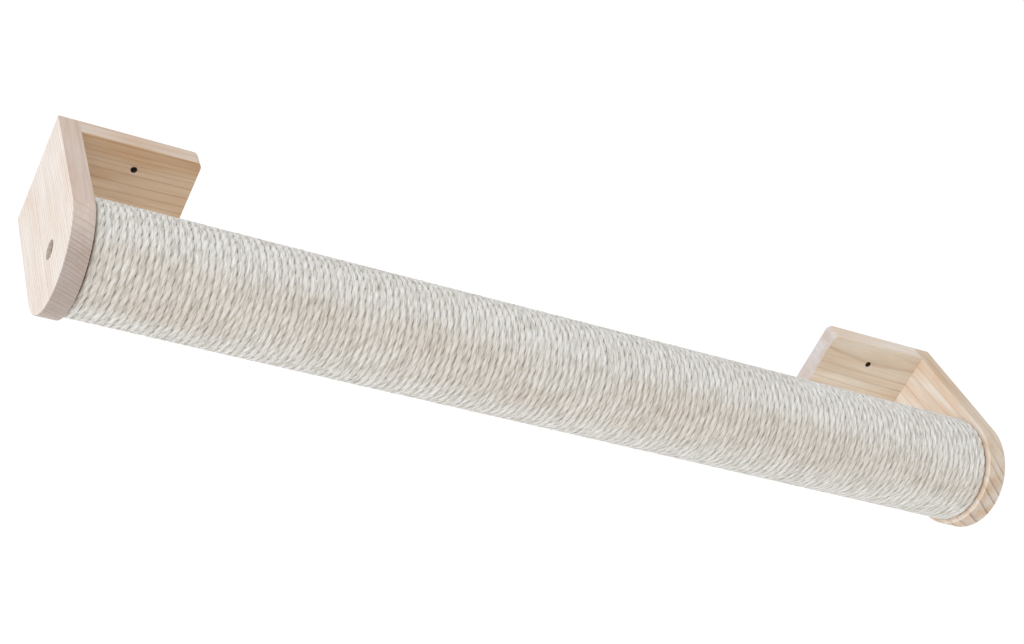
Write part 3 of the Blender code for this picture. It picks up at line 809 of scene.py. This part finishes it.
def makePostBolt(label, side):
    # A socket-cap bolt: knurled head with a chamfered rim and a hexagon socket, and a plain shank
    low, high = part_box(f"{label}_post_bolt")
    top, tip = (high.x, low.x) if side > 0 else (low.x, high.x)
    underHead = top - side * boltSettings["headHeight"]
    radius = boltSettings["head"] / 2
    chamfer = boltSettings["chamfer"]
    selectNothing()
    bpy.ops.mesh.primitive_cylinder_add(vertices=2 * boltSettings["ridges"], radius=radius,
                                        depth=boltSettings["headHeight"],
                                        location=((top + underHead) / 2, postAxis, 0),
                                        rotation=(0, math.pi / 2, 0))
    bolt = newest(f"{label}PostBolt")
    step = math.pi / boltSettings["ridges"]

    def isValley(corner):  # every other line of the knurl
        return round(math.atan2(corner.co.z, corner.co.y - postAxis) / step) % 2 == 1

    def isRim(corner):
        fromAxis = math.hypot(corner.co.y - postAxis, corner.co.z)
        return abs(corner.co.x - top) < nearly and fromAxis > radius - chamfer / 2

    selectInEdit(bolt, "EDGE", lambda edge: all(isValley(corner) for corner in edge.verts))
    shrink = 1 - boltSettings["ridgeDepth"] / radius
    bpy.ops.transform.resize(value=(1, shrink, shrink), center_override=(top, postAxis, 0))
    selectInEdit(bolt, "FACE", lambda face: face.normal.x * side > aligned)
    bpy.ops.mesh.inset(thickness=chamfer)
    selectInEdit(bolt, "EDGE", lambda edge: all(isRim(corner) for corner in edge.verts))
    bpy.ops.transform.translate(value=(-side * chamfer, 0, 0))
    pointOutward(bolt)
    inHead = underHead + side * chamfer
    selectNothing()
    bpy.ops.mesh.primitive_cylinder_add(vertices=boltSettings["shankSides"],
                                        radius=boltSettings["shank"] / 2,
                                        depth=abs(inHead - tip),
                                        location=((inHead + tip) / 2, postAxis, 0),
                                        rotation=(0, math.pi / 2, 0))
    combine(bolt, "UNION", newest("shank"))
    socketAcrossCorners = boltSettings["socketAcrossFlats"] / math.cos(math.pi / 6)
    drill(bolt, (top, postAxis, 0), (-side, 0, 0), socketAcrossCorners,
          boltSettings["socketDepth"], sides=6)
    finishShading(bolt)
    giveMaterial(bolt, zinc)
    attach(bolt, "root")
    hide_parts(f"{label}_post_bolt")


for label, side in bracketSides.items():
    makeEndPlate(label, side)
    makeWallPlate(label, side)
    makePostBolt(label, side)
print("brackets and bolts modelled")


# Rope

ropeSettings = {
    "diameter": 6 * mm,  # as sold
    "width": 7.8 * mm,  # along the post if it lay free: each turn is pressed into the next
    "height": 6.3 * mm,
    "squareness": 3.3,  # 2 is an ellipse, more fills its corners as pressed turns do
    "core": 40.3 * mm,  # radius that it is wound on
    "span": 846 * mm,
    "seat": 2.2 * mm,  # a thin dark gap is left between the last turn and the board
    "turns": 141,
    "endTurns": 12,
    "middlePieces": 5,
    "jog": 1 / 12,  # half the part of a turn in which the end turns step sideways
    "lay": 30 * mm,  # length in which a strand goes once round
    "strands": 3,
    "pointsPerStrand": 6,
    "stepsPerTurn": 180,
    "valleyOnTop": 0.11,  # depth between two strands, as a share of the rope's radius
    "valleyAtSides": 0.34,
    "valleySharpness": 3,
    "fibreTwist": 0.12,  # share of the lay that the fibres keep, as the strands twist back
    "grooveFrom": 0.72,  # where the painted shade in the groove beside a turn starts, as a share of its radius
    "grooveCurve": 1.5,
    "paintedValleyShade": 0.7,  # how dark the painted shade in the valleys between strands is, beside that groove
    "calmTurns": 2,  # the drift dies away over these at each end
    "noisePlace": (3.7, 7.1),  # the spacing of the rows of noise, and their level
    # Unevenness: each wave's size, how fast it changes in a turn, and its own row of noise
    "wander": ((0.12 * mm, 0.9, 1), (0.072 * mm, 5.1, 2)),  # away from the axis
    "drift": ((0.30 * mm, 1.3, 3), (0.16 * mm, 7.7, 4), (0.16 * mm, 27.0, 9)),  # along the post
    "twist": (1.1, 2.3, 5),  # in radians, of the lay
    "swell": (0.07, 19.0, 6),  # of each strand, on this row and the next two
}
windingRadius = ropeSettings["core"] + ropeSettings["height"] / 2


def unevenness(turn, *waves):
    spacing, level = ropeSettings["noisePlace"]
    return sum(size * noise.noise(Vector((turn * pace, spacing * row, level)))
               for size, pace, row in waves)


def ropeCentre(turn):
    # Place along X and distance from the axis. Whole turns are on the wall side, where the end
    # turns step sideways.
    room = ropeSettings["span"] - 2 * ropeSettings["seat"] - ropeSettings["diameter"]
    pitch = room / (ropeSettings["turns"] - 1)
    part = turn - round(turn)
    step = min(max(part / (2 * ropeSettings["jog"]) + 0.5, 0), 1)
    step = step * step * (3 - 2 * step) - 0.5  # starts and stops gently
    fromEnd = min(turn, ropeSettings["turns"] - turn)
    stepped = max(0.0, 1 - fromEnd / ropeSettings["endTurns"])
    along = turn + (step - part) * stepped
    drift = unevenness(turn, *ropeSettings["drift"]) * min(1.0, fromEnd / ropeSettings["calmTurns"])
    return ((along - ropeSettings["turns"] / 2) * pitch + drift,
            windingRadius + unevenness(turn, *ropeSettings["wander"]))


def makeRopePiece(name, start, end, node):
    # A ring swept along the winding, then each point moved out or in to the three strands of
    # the laid rope
    strands, perStrand = ropeSettings["strands"], ropeSettings["pointsPerStrand"]
    sides = strands * perStrand
    steps = round((end - start) * ropeSettings["stepsPerTurn"])
    selectNothing()
    bpy.ops.mesh.primitive_circle_add(vertices=sides, radius=ropeSettings["height"] / 2,
                                      location=(0, windingRadius, 0))
    rope = newest(name)
    applyModifier(rope, "SCREW", {
        "axis": "X", "angle": 2 * math.pi * (end - start), "steps": steps,
        "render_steps": steps, "screw_offset": (end - start) * ropeSettings["width"]})
    turn = np.linspace(start, end, steps + 1)
    centre = np.array([ropeCentre(t) for t in turn])
    lays = 2 * math.pi * windingRadius / ropeSettings["lay"]
    phase = np.array([unevenness(t, ropeSettings["twist"]) - 2 * math.pi * lays * t
                      for t in turn])
    size, pace, row = ropeSettings["swell"]
    swell = np.array([[unevenness(t, (size, pace, row + strand)) for strand in range(strands)]
                      for t in turn])
    order = np.arange(sides)
    inValley = np.abs(2 * (order / perStrand % 1) - 1)  # 1 between strands, 0 on a crest
    dip = inValley ** ropeSettings["valleySharpness"]  # valleys are narrower than crests
    angle = phase[:, None] + 2 * math.pi * order[None, :] / sides
    fullness = ropeSettings["squareness"]
    reach = (np.abs(np.sin(angle) / (ropeSettings["width"] / 2)) ** fullness
             + np.abs(np.cos(angle) / (ropeSettings["height"] / 2)) ** fullness) ** (-1 / fullness)
    onTop, atSides = ropeSettings["valleyOnTop"], ropeSettings["valleyAtSides"]
    valley = onTop + (atSides - onTop) * np.sin(angle) ** 2
    reach *= 1 - valley * dip + swell[:, order // perStrand] * (1 - inValley)
    sideways, outward = reach * np.sin(angle), reach * np.cos(angle)
    distance = centre[:, 1:] + outward
    around = 2 * math.pi * turn[:, None]
    endWall = ropeSettings["span"] / 2 - ropeSettings["seat"]
    places = np.stack([np.clip(centre[:, :1] + sideways, -endWall, endWall),
                       postAxis + distance * np.cos(around), distance * np.sin(around)], axis=-1)
    rope.data.vertices.foreach_set("co", places.reshape(-1))
    # The material follows the rope by these: the way along and round it, and how deep a point
    # lies between neighbours, which sets the painted shade in the grooves
    radius, grooveFrom = ropeSettings["diameter"] / 2, ropeSettings["grooveFrom"]
    along = np.broadcast_to(around * windingRadius, angle.shape)
    lie = angle - ropeSettings["fibreTwist"] * phase[:, None]
    fibre = np.stack([np.cos(lie) * radius, np.sin(lie) * radius, along], axis=-1)
    beside = np.clip((np.abs(sideways) / radius - grooveFrom) / (1 - grooveFrom), 0, 1)
    paintedGrooveShade = np.maximum(beside ** ropeSettings["grooveCurve"],
                        ropeSettings["paintedValleyShade"] * dip[None, :])
    attributes = rope.data.attributes
    attributes.new("fibre", "FLOAT_VECTOR", "POINT").data.foreach_set("vector", fibre.reshape(-1))
    attributes.new("paintedGrooveShade", "FLOAT", "POINT").data.foreach_set("value", paintedGrooveShade.reshape(-1))
    rope.data.update()
    selectInEdit(rope, "EDGE", lambda edge: edge.is_boundary)
    bpy.ops.mesh.edge_face_add()
    pointOutward(rope)
    bpy.ops.object.shade_smooth()
    giveMaterial(rope, sisal)
    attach(rope, "root")
    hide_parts(node)


endTurns, turns = ropeSettings["endTurns"], ropeSettings["turns"]
makeRopePiece("leftEndRope", ropeSettings["jog"], endTurns, "left_rope_turns")
share = (turns - 2 * endTurns) / ropeSettings["middlePieces"]
for number in range(ropeSettings["middlePieces"]):
    first = endTurns + number * share
    makeRopePiece(f"middleRope{number + 1}", first, first + share, "rope_turns_middle")
makeRopePiece("rightEndRope", turns - endTurns, turns - ropeSettings["jog"], "right_rope_turns")
print("rope wound")


fibreSettings = {
    "seed": 11,
    "count": 520,
    "bareTurns": 1,  # at each end
    "thickness": 0.15 * mm,  # true fibres are near 0.2 mm
    "length": (4 * mm, 12 * mm),
    "lift": (0.2 * mm, 1.5 * mm),
    "beside": (-2 * mm, 2 * mm),  # where across its turn it is rooted
    "slant": (-1.5 * mm, 1.5 * mm),
    "points": 6,
    "rootDepth": 0.5 * mm,
    "rootBend": 4,  # it leaves the rope near its root
    "tipBend": 1.5,
    "taper": 0.5,
    "weld": 0.001 * mm,
}


def makeLooseFibres():
    # Hairs that stand off the rope, each rooted in a turn and lying nearly along it
    chance = random.Random(fibreSettings["seed"])
    curve = bpy.data.curves.new("looseFibres", "CURVE")
    curve.dimensions = "3D"
    curve.bevel_depth = fibreSettings["thickness"] / 2
    curve.bevel_resolution = 0
    curve.use_fill_caps = True
    bare = fibreSettings["bareTurns"]
    for _ in range(fibreSettings["count"]):
        root = chance.uniform(bare, ropeSettings["turns"] - bare)
        length = chance.uniform(*fibreSettings["length"]) * chance.choice((-1, 1))
        lift = chance.uniform(*fibreSettings["lift"]) * chance.random()
        beside = chance.uniform(*fibreSettings["beside"])
        slant = chance.uniform(*fibreSettings["slant"])
        spline = curve.splines.new("POLY")
        spline.points.add(fibreSettings["points"] - 1)
        along, radius = ropeCentre(root)
        surface = radius + math.sqrt((ropeSettings["height"] / 2) ** 2 - beside ** 2)
        for number, point in enumerate(spline.points):
            part = number / (fibreSettings["points"] - 1)
            rooted = fibreSettings["rootDepth"] * (1 - part) ** fibreSettings["rootBend"]
            distance = surface - rooted + lift * part ** fibreSettings["tipBend"]
            around = 2 * math.pi * root + length * part / windingRadius
            point.co = (along + beside + slant * part * part,
                        postAxis + distance * math.cos(around), distance * math.sin(around), 1)
            point.radius = 1 - fibreSettings["taper"] * part
    fibres = bpy.data.objects.new("looseFibres", curve)
    bpy.context.collection.objects.link(fibres)
    makeActive(fibres)
    bpy.ops.object.convert(target="MESH")
    fibres = bpy.context.object
    selectInEdit(fibres, "FACE", lambda face: True)
    bpy.ops.mesh.remove_doubles(threshold=fibreSettings["weld"])
    pointOutward(fibres)
    bpy.ops.object.shade_smooth()
    giveMaterial(fibres, looseSisal)
    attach(fibres, "root")


makeLooseFibres()
print("loose fibres set")
